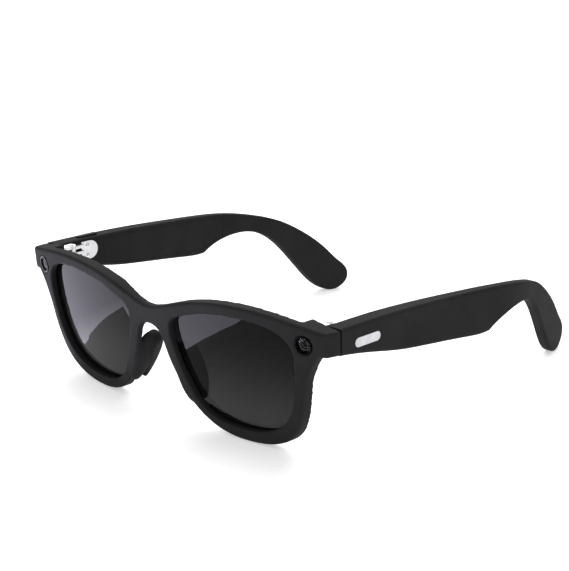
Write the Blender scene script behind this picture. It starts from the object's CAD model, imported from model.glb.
"""Looks of the smart glasses: finishes, softened mouldings, woven mesh, small trim and the studio."""

import logging
import math
from dataclasses import dataclass
from enum import Enum
from typing import Any

import bmesh
import bpy
from mathutils import Matrix, Vector


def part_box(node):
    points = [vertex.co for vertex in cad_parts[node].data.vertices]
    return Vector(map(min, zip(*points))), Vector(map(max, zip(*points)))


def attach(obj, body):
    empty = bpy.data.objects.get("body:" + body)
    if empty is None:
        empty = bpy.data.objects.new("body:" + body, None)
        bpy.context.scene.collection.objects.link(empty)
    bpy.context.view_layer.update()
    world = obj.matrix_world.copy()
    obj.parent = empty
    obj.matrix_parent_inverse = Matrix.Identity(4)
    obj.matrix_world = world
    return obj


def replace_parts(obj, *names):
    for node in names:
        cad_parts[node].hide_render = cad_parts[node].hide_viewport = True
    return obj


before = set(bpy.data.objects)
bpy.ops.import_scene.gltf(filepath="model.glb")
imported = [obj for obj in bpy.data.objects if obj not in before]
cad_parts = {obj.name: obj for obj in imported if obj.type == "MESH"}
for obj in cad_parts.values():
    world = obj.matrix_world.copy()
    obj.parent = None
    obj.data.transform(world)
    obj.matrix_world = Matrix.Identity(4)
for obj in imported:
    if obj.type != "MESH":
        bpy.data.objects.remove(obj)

MM = 0.001
# Triangles of one node whose corners are nearer than this, in millimetres, are joined up.
WELD = 0.002
LOG = logging.getLogger("glasses")


class Body(Enum):
    """The rigid bodies that new pieces ride on."""

    FRONT = "front"
    SLIDE = "power_slide"


class Slot(Enum):
    """The record's material slots that new pieces take their finish from."""

    PLASTIC = "frame_plastic"
    CONTROL = "control_plastic"
    BARREL = "barrel_plastic"
    MESH = "mesh_metal"


class Axis(Enum):
    """The direction that a brushed or drawn grain runs in, as stretches along X, Y and Z."""

    X = (0.04, 1.0, 1.0)
    Y = (1.0, 0.04, 1.0)
    Z = (1.0, 1.0, 0.04)


# ---------------------------------------------------------------- nodes and colours

def linear(colour: str) -> tuple[float, float, float, float]:
    """Turns an sRGB hex colour into linear light.

    Args:
        colour: Six hex digits after a hash sign.

    Returns:
        Red, green, blue and an alpha of 1.
    """
    parts = [int(colour[i:i + 2], 16) / 255 for i in (1, 3, 5)]
    red, green, blue = (p / 12.92 if p <= 0.04045 else ((p + 0.055) / 1.055) ** 2.4 for p in parts)
    return red, green, blue, 1.0


def add_node(tree: bpy.types.NodeTree, kind: str, settings: dict[str, Any] | None = None,
             inputs: dict[str | int, Any] | None = None) -> bpy.types.Node:
    """Adds a node, sets its properties, and fills or links its inputs.

    Args:
        tree: The tree that the node goes in.
        kind: The node's type name.
        settings: Property names and their values.
        inputs: Input names or numbers, each with a value or with the socket that feeds it.

    Returns:
        The new node.
    """
    node = tree.nodes.new(kind)
    for name, value in (settings or {}).items():
        setattr(node, name, value)
    for name, value in (inputs or {}).items():
        if isinstance(value, bpy.types.NodeSocket):
            tree.links.new(value, node.inputs[name])
        else:
            node.inputs[name].default_value = value
    return node


def per_mm(size: float) -> float:
    """The scale of a pattern whose features are this many millimetres across."""
    return 1 / (size * MM)


# ---------------------------------------------------------------- finishes

@dataclass(frozen=True)
class Finish:
    """What the finishes share: a name, and a material that is made once.

    Attributes:
        name: The material's name: what it is and how its surface was made.
    """

    name: str

    def material(self) -> bpy.types.Material:
        """The finished material, made on first use."""
        known = bpy.data.materials.get(self.name)
        if known is None:
            known = bpy.data.materials.new(self.name)
            known.use_nodes = True
            tree = known.node_tree
            tree.nodes.clear()
            shader = self.surface(tree, add_node(tree, "ShaderNodeTexCoord").outputs["Object"])
            add_node(tree, "ShaderNodeOutputMaterial", inputs={"Surface": shader.outputs[0]})
        return known

    def surface(self, tree: bpy.types.NodeTree, place: bpy.types.NodeSocket) -> bpy.types.Node:
        """Builds the shader.

        Args:
            tree: The material's tree.
            place: Object coordinates, in metres.

        Returns:
            The shader node.
        """
        raise NotImplementedError

    def noise(self, tree: bpy.types.NodeTree, place: bpy.types.NodeSocket, size: float,
              detail: float = 3.0) -> bpy.types.NodeSocket:
        """A noise pattern.

        Args:
            tree: The material's tree.
            place: The coordinates that it reads.
            size: The size of its features in millimetres.
            detail: How many finer layers it has.

        Returns:
            The pattern's value, from 0 to 1.
        """
        node = add_node(tree, "ShaderNodeTexNoise", inputs={
            "Vector": place, "Scale": per_mm(size), "Detail": detail, "Roughness": 0.55})
        return node.outputs["Fac"]

    def spread(self, tree: bpy.types.NodeTree, value: bpy.types.NodeSocket, low: float,
               high: float) -> bpy.types.NodeSocket:
        """Maps a noise value to a range.

        Args:
            tree: The material's tree.
            value: The noise.
            low: The result at the noise's low end.
            high: The result at its high end.

        Returns:
            The mapped value.
        """
        node = add_node(tree, "ShaderNodeMapRange", inputs={
            "Value": value, "From Min": 0.3, "From Max": 0.7, "To Min": low, "To Max": high})
        return node.outputs["Result"]

    def blend(self, tree: bpy.types.NodeTree, value: bpy.types.NodeSocket, first: str,
              second: str) -> bpy.types.NodeSocket:
        """A colour between two others.

        Args:
            tree: The material's tree.
            value: 0 for the first colour and 1 for the second.
            first: An sRGB hex colour.
            second: An sRGB hex colour.

        Returns:
            The colour.
        """
        node = add_node(tree, "ShaderNodeMix", {"data_type": "RGBA"}, {
            "Factor": value, 6: linear(first), 7: linear(second)})
        return node.outputs[2]

    def bump(self, tree: bpy.types.NodeTree, height: bpy.types.NodeSocket, depth: float,
             strength: float = 1.0) -> bpy.types.NodeSocket:
        """A bump from a height.

        Args:
            tree: The material's tree.
            height: The pattern.
            depth: How deep the pattern is in millimetres.
            strength: How much of it counts.

        Returns:
            The bent normal.
        """
        node = add_node(tree, "ShaderNodeBump", inputs={
            "Height": height, "Distance": depth * MM, "Strength": strength})
        return node.outputs["Normal"]


@dataclass(frozen=True)
class MouldedNylon(Finish):
    """Nylon moulded against a spark-eroded tool: matte, with a fine even grain.

    Attributes:
        dark: The colour in most places.
        light: The colour where handling has polished it a little.
        roughness: The mean roughness.
        grain: The grain's size in millimetres.
        grain_depth: The grain's depth in millimetres.
        sheen: How strongly the matte surface still reflects.
        cloud_size: The size of the slow changes of colour in millimetres.
    """

    dark: str
    light: str
    roughness: float = 0.66
    grain: float = 0.45
    grain_depth: float = 0.012
    sheen: float = 0.03
    cloud_size: float = 14.0

    def surface(self, tree: bpy.types.NodeTree, place: bpy.types.NodeSocket) -> bpy.types.Node:
        """A dark body colour with slow variation, and grain in roughness and height."""
        clouds = self.noise(tree, place, self.cloud_size, 2.0)
        # The real grain is near 0.1 mm: it is drawn at half a millimetre so that it shows.
        grain = self.noise(tree, place, self.grain, 4.0)
        return add_node(tree, "ShaderNodeBsdfPrincipled", inputs={
            "Base Color": self.blend(tree, self.spread(tree, clouds, 0, 1), self.dark, self.light),
            "Roughness": self.spread(tree, grain, self.roughness - 0.05, self.roughness + 0.05),
            "IOR": 1.53, "Specular IOR Level": self.sheen,
            "Normal": self.bump(tree, grain, self.grain_depth, 0.6)})


@dataclass(frozen=True)
class SunLens(Finish):
    """Dipped nylon sun lens with an anti-reflective coating: grey, darker towards the brow.

    Attributes:
        top: Height in millimetres where the tint is full.
        bottom: Height in millimetres where it is weakest.
        dense: How much light the full tint stops at each surface.
        weak: How much the weakest stops at each surface.
    """

    top: float = 40.0
    bottom: float = 6.0
    dense: float = 0.95
    weak: float = 0.84

    def surface(self, tree: bpy.types.NodeTree, place: bpy.types.NodeSocket) -> bpy.types.Node:
        """A dark clear gloss that lets a little more light through at the bottom."""
        height = add_node(tree, "ShaderNodeSeparateXYZ", inputs={0: place}).outputs["Z"]
        tint = add_node(tree, "ShaderNodeMapRange", {"interpolation_type": "SMOOTHSTEP"}, {
            "Value": height, "From Min": self.bottom * MM, "From Max": self.top * MM,
            "To Min": self.weak, "To Max": self.dense}).outputs["Result"]
        level = add_node(tree, "ShaderNodeMapRange", inputs={
            "Value": height, "From Min": self.bottom * MM, "From Max": self.top * MM})
        return add_node(tree, "ShaderNodeBsdfPrincipled", inputs={
            "Base Color": self.blend(tree, level.outputs["Result"], "#141415", "#050506"),
            "Roughness": 0.015, "IOR": 1.5, "Specular IOR Level": 0.05, "Alpha": tint})


@dataclass(frozen=True)
class GrainedMetal(Finish):
    """Metal whose surface was brushed or blasted: satin, with a fine directional grain.

    Attributes:
        colour: The metal's colour.
        worn: Its colour where the finish is thinner.
        roughness: The mean roughness.
        grain: The grain's width in millimetres.
        depth: The grain's depth in millimetres.
        axis: The way that the grain runs.
        patch: The size of the patches of changed colour in millimetres.
    """

    colour: str
    worn: str
    roughness: float = 0.3
    grain: float = 0.3
    depth: float = 0.004
    axis: Axis = Axis.Y
    patch: float = 4.0

    def surface(self, tree: bpy.types.NodeTree, place: bpy.types.NodeSocket) -> bpy.types.Node:
        """A metal with drawn-out noise in its roughness and height."""
        drawn = add_node(tree, "ShaderNodeMapping", inputs={
            "Vector": place, "Scale": self.axis.value}).outputs["Vector"]
        grain = self.noise(tree, drawn, self.grain, 3.0)
        patches = self.spread(tree, self.noise(tree, place, self.patch, 2.0), 0, 1)
        return add_node(tree, "ShaderNodeBsdfPrincipled", inputs={
            "Base Color": self.blend(tree, patches, self.colour, self.worn), "Metallic": 1.0,
            "Roughness": self.spread(tree, grain, self.roughness - 0.07, self.roughness + 0.07),
            "Normal": self.bump(tree, grain, self.depth, 0.5)})


@dataclass(frozen=True)
class CoatedGlass(Finish):
    """Polished optical glass: black in depth, with a faint coloured coating.

    Attributes:
        body: The colour seen in its depth.
        alpha: How much light it stops.
        rough: The surface's mean roughness.
        sheen: How strongly the coated surface reflects.
        smear: The size of the wiping marks in millimetres.
    """

    body: str
    alpha: float = 0.55
    rough: float = 0.03
    sheen: float = 0.25
    smear: float = 1.5

    def surface(self, tree: bpy.types.NodeTree, place: bpy.types.NodeSocket) -> bpy.types.Node:
        """A clear gloss over a dark body, with a trace of wiping marks in its roughness."""
        wiped = self.noise(tree, place, self.smear, 2.0)
        return add_node(tree, "ShaderNodeBsdfPrincipled", inputs={
            "Base Color": self.blend(tree, wiped, self.body, "#060609"),
            "Roughness": self.spread(tree, wiped, self.rough * 0.7, self.rough * 1.4),
            "IOR": 1.52, "Specular IOR Level": self.sheen, "Alpha": self.alpha})


@dataclass(frozen=True)
class MouldedHousing(Finish):
    """Filled engineering plastic, moulded: the housings and boards that sit inside.

    Attributes:
        dark: The ground colour.
        light: The colour of its fillers, or of the tracks under a solder mask.
        size: The size of the variation in millimetres.
        roughness: The mean roughness.
    """

    dark: str
    light: str
    size: float = 1.2
    roughness: float = 0.45

    def surface(self, tree: bpy.types.NodeTree, place: bpy.types.NodeSocket) -> bpy.types.Node:
        """A mottled plastic with a shallow grain."""
        mottle = self.noise(tree, place, self.size, 4.0)
        return add_node(tree, "ShaderNodeBsdfPrincipled", inputs={
            "Base Color": self.blend(tree, self.spread(tree, mottle, 0, 1), self.dark, self.light),
            "Roughness": self.spread(tree, mottle, self.roughness - 0.08, self.roughness + 0.08),
            "Normal": self.bump(tree, mottle, 0.01, 0.5)})


NYLON = MouldedNylon("charcoal_nylon_spark_eroded_tool", "#232324", "#282829")
CONTROL_NYLON = MouldedNylon("charcoal_nylon_satin_tool", "#1e1e20", "#232325", 0.46, 0.4, 0.008)
LENS = SunLens("dipped_nylon_sun_lens_coated")
STAINLESS = GrainedMetal("stainless_steel_tumbled", "#d4d4d6", "#c2c2c5", 0.3, 0.25)
PILL = GrainedMetal("aluminium_beads_blasted", "#c4c4c7", "#b0b0b4", 0.32, 0.2, 0.006)
ANODISED = GrainedMetal("black_anodised_turned_aluminium", "#070708", "#0c0c0e", 0.4, 0.2, 0.003,
                        Axis.Z)
GOLD = GrainedMetal("gold_plate_on_nickel", "#e3bd72", "#d6ab5c", 0.2, 0.3, 0.002, Axis.Z)
WIRE = GrainedMetal("black_oxide_steel_wire", "#2b2b2d", "#3a3a3c", 0.4, 0.2, 0.003)
FOIL = GrainedMetal("pouch_foil_rolled", "#b8b9bb", "#a6a7aa", 0.35, 0.6, 0.02)
TINNED = GrainedMetal("tinned_steel_pressed", "#cfcfd0", "#bfc0c1", 0.25, 0.5, 0.004)
EYE_GLASS = CoatedGlass("cover_glass_hard_coated", "#08080a", 0.25)
LENS_ELEMENT = CoatedGlass("camera_element_multicoated", "#1d1b2a", 0.9, 0.08, 0.6)
SMOKED = CoatedGlass("smoked_polycarbonate_satin_moulded", "#111112", 0.99, 0.55, 0.1)
HOUSING = MouldedHousing("black_crystal_polymer_moulded", "#0b0b0b", "#161616")
BAFFLE = MouldedHousing("grey_crystal_polymer_moulded", "#747477", "#818185", 0.6, 0.35)
BOARD = MouldedHousing("glass_epoxy_board_green_mask", "#0e2417", "#1b4a2c", 0.8, 0.35)
FILM = MouldedHousing("polyimide_flex_laminated", "#6b3f14", "#8a5a22", 1.0, 0.35)


# ---------------------------------------------------------------- meshes

def new_piece(name: str, mesh: bpy.types.Mesh, body: Body,
              finish: Finish | None = None) -> bpy.types.Object:
    """Puts a mesh in the scene as a piece of the object.

    Args:
        name: The piece's name.
        mesh: Its mesh, already in place.
        body: The body that it rides on.
        finish: Its finish, or None where the mesh already has one.

    Returns:
        The new object.
    """
    item = bpy.data.objects.new(name, mesh)
    mesh.name = name
    bpy.context.scene.collection.objects.link(item)
    if finish is not None:
        mesh.materials.clear()
        mesh.materials.append(finish.material())
    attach(item, body.value)
    LOG.info("piece %s: %d faces on %s", name, len(mesh.polygons), body.value)
    return item


def dress(finish: Finish, *nodes: str) -> None:
    """Gives CAD nodes a finish.

    Args:
        finish: The finish.
        nodes: The nodes' names.
    """
    for node in nodes:
        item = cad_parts[node]
        item.data.materials.clear()
        item.data.materials.append(finish.material())
        LOG.info("node %s: %s", node, finish.name)


def evaluated_mesh(item: bpy.types.Object) -> bpy.types.Mesh:
    """The item's mesh with its modifiers applied, after which the item is removed."""
    bpy.context.view_layer.update()
    graph = bpy.context.evaluated_depsgraph_get()
    mesh = bpy.data.meshes.new_from_object(item.evaluated_get(graph))
    bpy.data.objects.remove(item)
    return mesh


def merged_copy(nodes: tuple[str, ...], webs: tuple[Matrix, ...]) -> bpy.types.Mesh:
    """One mesh of copies of CAD nodes, with their triangles joined up, and of round webs.

    Args:
        nodes: The nodes' names.
        webs: For each web, the matrix that makes it from a ball of radius 1.

    Returns:
        The mesh.
    """
    form = bmesh.new()
    for node in nodes:
        form.from_mesh(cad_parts[node].data)
    bmesh.ops.remove_doubles(form, verts=form.verts, dist=WELD * MM)
    for web in webs:
        bmesh.ops.create_icosphere(form, subdivisions=4, radius=1.0, matrix=web)
    mesh = bpy.data.meshes.new(nodes[0] + "_copy")
    form.to_mesh(mesh)
    form.free()
    return mesh


def softened(nodes: tuple[str, ...], webs: tuple[Matrix, ...], voxel: float,
             passes: int) -> bpy.types.Mesh:
    """CAD nodes run together into one moulding whose sharp edges are slightly rounded.

    Args:
        nodes: The nodes' names.
        webs: Extra round webs that join them, as matrices.
        voxel: The remeshing grid in millimetres.
        passes: How often the surface is relaxed.

    Returns:
        The moulding's mesh.
    """
    item = bpy.data.objects.new("moulding", merged_copy(nodes, webs))
    bpy.context.scene.collection.objects.link(item)
    grid = item.modifiers.new("grid", "REMESH")
    grid.mode = "VOXEL"
    grid.voxel_size = voxel * MM
    grid.use_smooth_shade = True
    relax = item.modifiers.new("relax", "SMOOTH")
    relax.factor = 0.5
    relax.iterations = passes
    mesh = evaluated_mesh(item)
    mesh.shade_smooth()
    return mesh


def middle(node: str) -> Vector:
    """The middle of a CAD node's box."""
    low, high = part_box(node)
    return (low + high) / 2


# ---------------------------------------------------------------- repeated detail

@dataclass
class RuledTree:
    """A geometry tree with named inputs, and the mesh that it makes.

    Attributes:
        name: The tree's name.
    """

    name: str

    def start(self, sizes: dict[str, float]) -> tuple[bpy.types.NodeTree, bpy.types.Node]:
        """Makes an empty tree with an input for each size and one for the material.

        Args:
            sizes: The inputs' names and usual values, in metres or as counts.

        Returns:
            The tree and its input node.
        """
        tree = bpy.data.node_groups.new(self.name, "GeometryNodeTree")
        face = tree.interface
        face.new_socket("Geometry", in_out="OUTPUT", socket_type="NodeSocketGeometry")
        for label, value in sizes.items():
            kind = "NodeSocketInt" if isinstance(value, int) else "NodeSocketFloat"
            face.new_socket(label, in_out="INPUT", socket_type=kind).default_value = value
        face.new_socket("Material", in_out="INPUT", socket_type="NodeSocketMaterial")
        return tree, add_node(tree, "NodeGroupInput")

    def end(self, tree: bpy.types.NodeTree, given: bpy.types.Node,
            shape: bpy.types.NodeSocket) -> bpy.types.NodeTree:
        """Closes a tree: instances are made real and take the material.

        Args:
            tree: The tree.
            given: Its input node.
            shape: The geometry so far.

        Returns:
            The tree.
        """
        real = add_node(tree, "GeometryNodeRealizeInstances", inputs={0: shape})
        made = add_node(tree, "GeometryNodeSetMaterial", inputs={
            "Geometry": real.outputs[0], "Material": given.outputs["Material"]})
        add_node(tree, "NodeGroupOutput", inputs={0: made.outputs[0]})
        return tree

    def mesh(self, tree: bpy.types.NodeTree, values: dict[str, Any],
             place: Matrix) -> bpy.types.Mesh:
        """Runs the tree and puts the result in place.

        Args:
            tree: The tree.
            values: A value for each named input.
            place: Where the tree's own origin and axes go.

        Returns:
            A plain mesh.
        """
        item = bpy.data.objects.new(self.name, bpy.data.meshes.new(self.name))
        bpy.context.scene.collection.objects.link(item)
        rule = item.modifiers.new(self.name, "NODES")
        rule.node_group = tree
        sockets = {s.name: s.identifier for s in tree.interface.items_tree if s.in_out == "INPUT"}
        for label, value in values.items():
            rule[sockets[label]] = value
        mesh = evaluated_mesh(item)
        mesh.transform(place)
        return mesh


@dataclass
class WireDisc(RuledTree):
    """A round of plain-woven wire: two crossed rows of wires cut to a circle.

    Attributes:
        radius: The disc's radius in millimetres.
        pitch: The wires' spacing in millimetres.
        wire: The wires' radius in millimetres.
    """

    radius: float = 1.38
    pitch: float = 0.2
    wire: float = 0.045

    def row(self, tree: bpy.types.NodeTree, given: bpy.types.Node, turn: float,
            lift: float) -> bpy.types.NodeSocket:
        """One row of parallel wires, each as long as the circle allows.

        Args:
            tree: The tree.
            given: Its input node.
            turn: How far the row is turned about the disc's axis, in radians.
            lift: How far it is raised, in wire radii.

        Returns:
            The row's geometry.
        """
        radius, pitch, wire = (given.outputs[n] for n in ("Radius", "Pitch", "Wire Radius"))
        half = add_node(tree, "ShaderNodeMath", {"operation": "SUBTRACT"}, {0: radius, 1: wire})
        count = add_node(tree, "ShaderNodeMath", {"operation": "DIVIDE"}, {0: radius, 1: pitch})
        whole = add_node(tree, "ShaderNodeMath", {"operation": "MULTIPLY"},
                         {0: count.outputs[0], 1: 2.0})
        start = add_node(tree, "ShaderNodeMath", {"operation": "MULTIPLY"},
                         {0: half.outputs[0], 1: -1.0})
        first = add_node(tree, "ShaderNodeCombineXYZ", inputs={"X": start.outputs[0]})
        last = add_node(tree, "ShaderNodeCombineXYZ", inputs={"X": half.outputs[0]})
        line = add_node(tree, "GeometryNodeMeshLine", {"mode": "END_POINTS"}, {
            "Count": whole.outputs[0], "Start Location": first.outputs[0],
            "Offset": last.outputs[0]})
        across = add_node(tree, "ShaderNodeSeparateXYZ", inputs={
            0: add_node(tree, "GeometryNodeInputPosition").outputs[0]})
        share = add_node(tree, "ShaderNodeMath", {"operation": "DIVIDE"},
                         {0: across.outputs["X"], 1: radius})
        square = add_node(tree, "ShaderNodeMath", {"operation": "MULTIPLY"},
                          {0: share.outputs[0], 1: share.outputs[0]})
        rest = add_node(tree, "ShaderNodeMath", {"operation": "SUBTRACT", "use_clamp": True},
                        {0: 1.0, 1: square.outputs[0]})
        chord = add_node(tree, "ShaderNodeMath", {"operation": "SQRT"}, {0: rest.outputs[0]})
        width = add_node(tree, "ShaderNodeMath", {"operation": "MULTIPLY"}, {0: radius, 1: 2.0})
        bar = add_node(tree, "GeometryNodeMeshCylinder", inputs={
            "Vertices": 6, "Radius": wire, "Depth": width.outputs[0]})
        scale = add_node(tree, "ShaderNodeCombineXYZ",
                         inputs={"X": 1.0, "Y": 1.0, "Z": chord.outputs[0]})
        placed = add_node(tree, "GeometryNodeInstanceOnPoints", inputs={
            "Points": line.outputs[0], "Instance": bar.outputs[0],
            "Rotation": (math.pi / 2, 0.0, 0.0), "Scale": scale.outputs[0]})
        height = add_node(tree, "ShaderNodeMath", {"operation": "MULTIPLY"}, {0: wire, 1: lift})
        raised = add_node(tree, "ShaderNodeCombineXYZ", inputs={"Z": height.outputs[0]})
        moved = add_node(tree, "GeometryNodeTransform", inputs={
            "Geometry": placed.outputs[0], "Translation": raised.outputs[0],
            "Rotation": (0.0, 0.0, turn)})
        return moved.outputs[0]

    def make(self, finish: Finish, place: Matrix) -> bpy.types.Mesh:
        """Builds the disc.

        Args:
            finish: The wire's finish.
            place: Where the disc's middle and axis go.

        Returns:
            The disc's mesh.
        """
        sizes = {"Radius": self.radius * MM, "Pitch": self.pitch * MM,
                 "Wire Radius": self.wire * MM}
        tree, given = self.start(sizes)
        both = add_node(tree, "GeometryNodeJoinGeometry")
        for turn, lift in ((0.0, -0.8), (math.pi / 2, 0.8)):
            tree.links.new(self.row(tree, given, turn, lift), both.inputs[0])
        self.end(tree, given, both.outputs[0])
        return self.mesh(tree, {**sizes, "Material": finish.material()}, place)


@dataclass
class RibRow(RuledTree):
    """A row of equal ribs or rings along one line, each a size step from the one before.

    Attributes:
        count: How many there are.
        spacing: The distance between them in millimetres.
        length: A rib's length, or a ring's first radius, in millimetres.
        thickness: The rib's thickness in millimetres.
        step: The change in length from each to the next, as a share.
    """

    count: int = 5
    spacing: float = 0.5
    length: float = 1.2
    thickness: float = 0.14
    step: float = 0.0

    def ring(self, tree: bpy.types.NodeTree, given: bpy.types.Node) -> bpy.types.NodeSocket:
        """One ring of round section, about Z."""
        path = add_node(tree, "GeometryNodeCurvePrimitiveCircle", {"mode": "RADIUS"},
                        {"Resolution": 48, "Radius": given.outputs["Length"]})
        edge = add_node(tree, "GeometryNodeCurvePrimitiveCircle", {"mode": "RADIUS"},
                        {"Resolution": 8, "Radius": given.outputs["Thickness"]})
        return add_node(tree, "GeometryNodeCurveToMesh", inputs={
            "Curve": path.outputs[0], "Profile Curve": edge.outputs[0]}).outputs[0]

    def bar(self, tree: bpy.types.NodeTree, given: bpy.types.Node) -> bpy.types.NodeSocket:
        """One bar of round section, across the row."""
        upright = add_node(tree, "GeometryNodeMeshCylinder", inputs={
            "Vertices": 10, "Radius": given.outputs["Thickness"], "Depth": given.outputs["Length"]})
        return add_node(tree, "GeometryNodeTransform", inputs={
            "Geometry": upright.outputs[0], "Rotation": (math.pi / 2, 0.0, 0.0)}).outputs[0]

    def make(self, finish: Finish, place: Matrix, rings: bool) -> bpy.types.Mesh:
        """Builds the row along its own Z for rings, and along its own X for bars.

        Args:
            finish: The row's finish.
            place: Where the row's middle and axes go.
            rings: True for rings and False for bars.

        Returns:
            The row's mesh.
        """
        sizes = {"Count": self.count, "Spacing": self.spacing * MM, "Length": self.length * MM,
                 "Thickness": self.thickness * MM, "Step": self.step}
        tree, given = self.start(sizes)
        gap = add_node(tree, "ShaderNodeCombineXYZ", inputs={
            "Z" if rings else "X": given.outputs["Spacing"]})
        line = add_node(tree, "GeometryNodeMeshLine", {"mode": "OFFSET"}, {
            "Count": given.outputs["Count"], "Offset": gap.outputs[0]})
        number = add_node(tree, "GeometryNodeInputIndex")
        change = add_node(tree, "ShaderNodeMath", {"operation": "MULTIPLY_ADD"}, {
            0: number.outputs[0], 1: given.outputs["Step"], 2: 1.0})
        shape = self.ring(tree, given) if rings else self.bar(tree, given)
        row = add_node(tree, "GeometryNodeInstanceOnPoints", inputs={
            "Points": line.outputs[0], "Instance": shape, "Scale": change.outputs[0]})
        self.end(tree, given, row.outputs[0])
        return self.mesh(tree, {**sizes, "Material": finish.material()}, place)


# ---------------------------------------------------------------- sub-assemblies

@dataclass
class Front:
    """The front moulding with its pads, lenses, flex, contacts and nose microphone.

    Attributes:
        voxel: The remeshing grid in millimetres.
        passes: How often the moulding's surface is relaxed.
        web_side: How far a web is from the middle in millimetres.
        web_back: Its place from front to back.
        web_height: Its height.
        web_lean: How far it leans, in degrees.
        web_size: Its half sizes in millimetres.
        mesh_slack: The play round the microphone's woven mesh in millimetres.
    """

    voxel: float = 0.42
    passes: int = 5
    web_side: float = 11.4
    web_back: float = -71.6
    web_height: float = 17.6
    web_lean: float = 25.0
    web_size: tuple[float, float, float] = (2.6, 3.6, 10.8)
    mesh_slack: float = 0.02

    def webs(self) -> tuple[Matrix, ...]:
        """The fillets that run each pad into the rim, as stretched balls."""
        return tuple(
            Matrix.Translation(Vector((side * self.web_side, self.web_back, self.web_height)) * MM)
            @ Matrix.Rotation(math.radians(self.web_lean * -side), 4, "Y")
            @ Matrix.Diagonal(Vector(self.web_size) * MM).to_4x4() for side in (1, -1))

    def moulding(self) -> None:
        """Runs the front and both pads together, as they are moulded in one shot."""
        nodes = ("front_frame", "nose_pad_left", "nose_pad_right")
        mesh = softened(nodes, self.webs(), self.voxel, self.passes)
        piece = new_piece("front_moulding", mesh, Body.FRONT, NYLON)
        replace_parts(piece, *nodes)

    def microphone_mesh(self) -> None:
        """Weaves the round mesh over the nose microphone."""
        node = "nose_microphone_mesh"
        centre = middle(node)
        place = Matrix.Translation(centre) @ Matrix.Rotation(math.pi / 2, 4, "X")
        low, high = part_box(node)
        radius = (high.x - low.x) / 2 / MM - self.mesh_slack
        disc = WireDisc("woven_wire_disc", radius).make(WIRE, place)
        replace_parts(new_piece("nose_microphone_weave", disc, Body.FRONT), node)

    def build(self) -> None:
        """Builds and dresses the front."""
        self.moulding()
        self.microphone_mesh()
        dress(NYLON, "brow_cover")
        dress(LENS, "lens_left", "lens_right")
        dress(FILM, "front_flex")
        dress(GOLD, "charge_contacts")
        dress(HOUSING, "nose_microphone")


@dataclass
class Eyes:
    """The camera and the recording light, each behind a ring in its end-piece.

    Attributes:
        rings: How many baffle rings the camera's barrel has.
        spacing: The distance between them in millimetres.
        radius: The outermost ring's radius in millimetres.
        thickness: The rings' half thickness in millimetres.
        shrink: How much smaller each ring is than the one before, as a share.
        depth: How far the first ring is behind the middle of the window, in millimetres.
    """

    rings: int = 2
    spacing: float = 0.12
    radius: float = 1.85
    thickness: float = 0.13
    shrink: float = 0.42
    depth: float = 0.45

    def baffles(self) -> None:
        """Steps the inside of the camera with rings that shrink towards the lens."""
        inward = (middle("camera_board") - middle("camera_window")).normalized()
        turn = inward.to_track_quat("Z", "Y").to_matrix().to_4x4()
        place = Matrix.Translation(middle("camera_window") + inward * self.depth * MM) @ turn
        row = RibRow("baffle_rings", self.rings, self.spacing, self.radius, self.thickness,
                     -self.shrink)
        new_piece("camera_baffles", row.make(BAFFLE, place, True), Body.FRONT)

    def build(self) -> None:
        """Builds and dresses both."""
        self.baffles()
        dress(ANODISED, "camera_bezel", "light_bezel")
        dress(EYE_GLASS, "camera_window")
        dress(LENS_ELEMENT, "camera_lens")
        dress(SMOKED, "light_window", "light_guide")
        dress(HOUSING, "camera_barrel")
        dress(BOARD, "camera_board", "light_board")


@dataclass
class Hinges:
    """Blocks, screws and plates of both hinges."""

    def build(self) -> None:
        """Dresses every metal piece of the hinges."""
        dress(STAINLESS, "hinge_block_left", "hinge_block_right", "hinge_pins",
              "hinge_block_screws")
        for side in ("left", "right"):
            dress(STAINLESS, f"{side}_hinge_plate", f"{side}_hinge_plate_screws")


@dataclass
class Temples:
    """Both temples with their covers, cores, sound parts, boards and battery."""

    def build(self) -> None:
        """Dresses the temples, outside and inside."""
        for side in ("left", "right"):
            dress(NYLON, f"{side}_temple_shell", f"{side}_temple_cover")
            dress(WIRE, f"{side}_speaker_grille")
            dress(HOUSING, f"{side}_speaker", f"{side}_microphone")
            dress(STAINLESS, f"{side}_tip_core")
            dress(PILL, f"{side}_badge")
        dress(FOIL, "battery")
        dress(BOARD, "power_board", "main_board")
        dress(FILM, "touch_sensor")
        dress(TINNED, "shield_can")
        dress(HOUSING, "slide_switch", "button_switch")


@dataclass
class Controls:
    """The power slide with its grip ribs, and the shutter button.

    Attributes:
        ribs: How many grip ribs the slide has.
        spacing: The distance between them in millimetres.
        length: A rib's length in millimetres.
        thickness: A rib's half thickness in millimetres.
        sink: How far the ribs' middle is below the nub's face, in millimetres.
    """

    ribs: int = 4
    spacing: float = 0.45
    length: float = 1.1
    thickness: float = 0.1
    sink: float = 0.02

    def slide_ribs(self) -> None:
        """Lays grip ribs across the nub of the power slide."""
        low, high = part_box("power_slide")
        nub = Vector((low.x + self.sink * MM, (low.y + high.y) / 2, (low.z + high.z) / 2))
        start = nub - Vector((0, self.spacing * (self.ribs - 1) / 2 * MM, 0))
        turn = Matrix(((0, 0, 1, 0), (1, 0, 0, 0), (0, 1, 0, 0), (0, 0, 0, 1)))
        row = RibRow("grip_ribs", self.ribs, self.spacing, self.length, self.thickness)
        new_piece("power_slide_ribs", row.make(CONTROL_NYLON, Matrix.Translation(start) @ turn,
                                               False), Body.SLIDE)

    def build(self) -> None:
        """Builds and dresses both controls."""
        self.slide_ribs()
        dress(CONTROL_NYLON, "power_slide", "shutter_button")


# ---------------------------------------------------------------- studio

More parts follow.
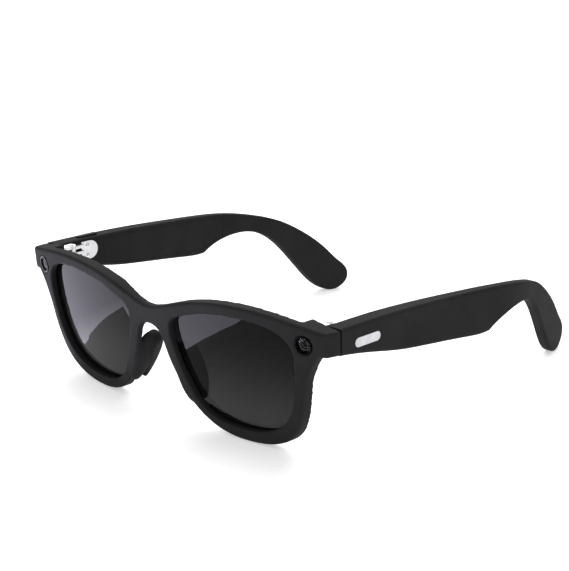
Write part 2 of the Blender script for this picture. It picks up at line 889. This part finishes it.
# The reflector card's curved edges and its square corners, X and Y in millimetres.
FAR_EDGE = [(-46, -30), (-66.8, -71.5), (-72.3, -78.1), (-78.2, -92.8), (-79.5, -109.1)]
NEAR_EDGE = [(-21, -88), (-18.8, -99.6), (-16.3, -112.1), (-12, -125.8), (-6.1, -142.8), (0, -170)]
CARD_CORNERS = [(-20, -400), (-500, -400), (-500, 40)]


def smooth_path(points: list[tuple[float, float]], steps: int = 8) -> list[tuple[float, float]]:
    """Runs a smooth curve through points.

    Args:
        points: The points in order.
        steps: How many pieces each gap is drawn with.

    Returns:
        The curve's points, from the first to the last.
    """
    ring = [Vector(p) for p in [points[0], *points, points[-1]]]
    path = []
    for a, b, c, d in zip(ring, ring[1:], ring[2:], ring[3:]):
        for step in range(steps):
            t = step / steps
            bend = (2 * b + (c - a) * t + (2 * a - 5 * b + 4 * c - d) * t ** 2
                    + (3 * b - a - 3 * c + d) * t ** 3) / 2
            path.append((bend.x, bend.y))
    return path + [points[-1]]


@dataclass
class Studio:
    """A white floor, a bright room, two soft lights and a low reflector card in front.

    Attributes:
        floor_half: Half the floor's width in metres.
        room: The room's brightness.
        key: The strength of the light from behind.
        glow: How brightly the floor is lit from below.
        fill: The strength of the light from the near side.
        card_height: The card's height over the floor in metres.
        card_light: The card's brightness on the far side; on the near side it is twice that.
        eye_turn: How far the camera is turned from straight in front, in degrees.
        eye_rise: How far it is above level, in degrees.
        eye_roll: How far it leans, in degrees.
        eye_reach: Its distance from the point that it looks at, in metres.
        eye_aim: That point, in millimetres.
        focal_length: Its focal length in millimetres.
    """

    floor_half: float = 6.0
    room: float = 0.55
    key: float = 2.6
    glow: float = 0.45
    fill: float = 0.3
    card_height: float = 0.002
    card_light: float = 7.0
    eye_turn: float = 44.965
    eye_rise: float = 16.907
    eye_roll: float = -0.513
    eye_reach: float = 0.497577
    eye_aim: tuple[float, float, float] = (12.75, -26.89, 37.78)
    focal_length: float = 90.33

    def plane(self, name: str, corners: list[tuple[float, float, float]],
              material: bpy.types.Material) -> bpy.types.Object:
        """A flat stage object.

        Args:
            name: Its name.
            corners: Its outline in metres.
            material: Its material.

        Returns:
            The object.
        """
        mesh = bpy.data.meshes.new(name)
        mesh.from_pydata(corners, [], [tuple(range(len(corners)))])
        mesh.materials.append(material)
        item = bpy.data.objects.new(name, mesh)
        bpy.context.scene.collection.objects.link(item)
        return item

    def floor(self) -> None:
        """A pale matte floor, lit a little from below so that shadows stay faint."""
        material = bpy.data.materials.new("floor_white_matte_laminate")
        material.use_nodes = True
        shader = material.node_tree.nodes["Principled BSDF"]
        shader.inputs["Base Color"].default_value = linear("#f4f4f4")
        shader.inputs["Roughness"].default_value = 0.75
        shader.inputs["Specular IOR Level"].default_value = 0.1
        shader.inputs["Emission Color"].default_value = linear("#ffffff")
        shader.inputs["Emission Strength"].default_value = self.glow
        half = self.floor_half
        self.plane("floor", [(-half, -half, 0), (half, -half, 0), (half, half, 0),
                             (-half, half, 0)], material)

    def card(self) -> None:
        """A curved-edged reflector low in front, which only polished surfaces see."""
        material = bpy.data.materials.new("card_lit_paper")
        material.use_nodes = True
        tree = material.node_tree
        tree.nodes.clear()
        place = add_node(tree, "ShaderNodeTexCoord").outputs["Object"]
        side = add_node(tree, "ShaderNodeSeparateXYZ", inputs={0: place}).outputs["X"]
        level = add_node(tree, "ShaderNodeMapRange", inputs={
            "Value": side, "From Min": -0.05, "From Max": -0.09,
            "To Min": self.card_light * 2, "To Max": self.card_light})
        light = add_node(tree, "ShaderNodeEmission", inputs={
            "Color": linear("#d9d7e6"), "Strength": level.outputs["Result"]})
        add_node(tree, "ShaderNodeOutputMaterial", inputs={"Surface": light.outputs[0]})
        card = self.plane("reflector_card", [(x * MM, y * MM, self.card_height) for x, y in
                                             smooth_path(FAR_EDGE) + smooth_path(NEAR_EDGE)
                                             + CARD_CORNERS], material)
        for way in ("camera", "diffuse", "shadow", "transmission", "volume_scatter"):
            setattr(card, f"visible_{way}", False)

    def lights(self) -> None:
        """The room's even white, and a broad soft light from high behind the far side."""
        world = bpy.data.worlds.new("studio_room")
        bpy.context.scene.world = world
        world.use_nodes = True
        ground = world.node_tree.nodes["Background"]
        ground.inputs["Color"].default_value = linear("#ffffff")
        ground.inputs["Strength"].default_value = self.room
        for name, way, spread, power in (("high_back", (-0.6, 0.62, 0.9), 70, self.key),
                                         ("side_fill", (0.8, -0.1, 0.5), 60, self.fill)):
            data = bpy.data.lights.new(name, "SUN")
            data.angle, data.energy = math.radians(spread), power
            lamp = bpy.data.objects.new(name, data)
            lamp.rotation_euler = Vector(way).to_track_quat("Z", "Y").to_euler()
            lamp.location = way
            bpy.context.scene.collection.objects.link(lamp)

    def camera(self) -> None:
        """The camera: three quarters from the wearer's left, a little above."""
        turn, rise = math.radians(self.eye_turn), math.radians(self.eye_rise)
        roll = math.radians(self.eye_roll)
        back = Vector((math.sin(turn) * math.cos(rise), -math.cos(turn) * math.cos(rise),
                       math.sin(rise)))
        flat = Vector((math.cos(turn), math.sin(turn), 0))
        up = back.cross(flat)
        right = flat * math.cos(roll) + up * math.sin(roll)
        above = back.cross(right)
        target = Vector(self.eye_aim) * MM
        lens = bpy.data.cameras.new("camera")
        lens.lens, lens.sensor_width = self.focal_length, 36.0
        lens.clip_start, lens.clip_end = 0.01, 20.0
        eye = bpy.data.objects.new("camera", lens)
        eye.matrix_world = Matrix.Translation(target + back * self.eye_reach) @ Matrix(
            (right, above, back)).transposed().to_4x4()
        bpy.context.scene.collection.objects.link(eye)
        bpy.context.scene.camera = eye

    def build(self) -> None:
        """Sets the whole studio up, with plain tone mapping so that white stays white."""
        self.floor()
        self.card()
        self.lights()
        self.camera()
        bpy.context.scene.view_settings.view_transform = "Standard"


def main() -> None:
    """Builds every sub-assembly and the studio."""
    logging.basicConfig(level=logging.INFO, format="%(message)s")
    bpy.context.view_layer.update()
    for part in (Front(), Eyes(), Hinges(), Temples(), Controls(), Studio()):
        part.build()


if __name__ == "__main__":
    main()
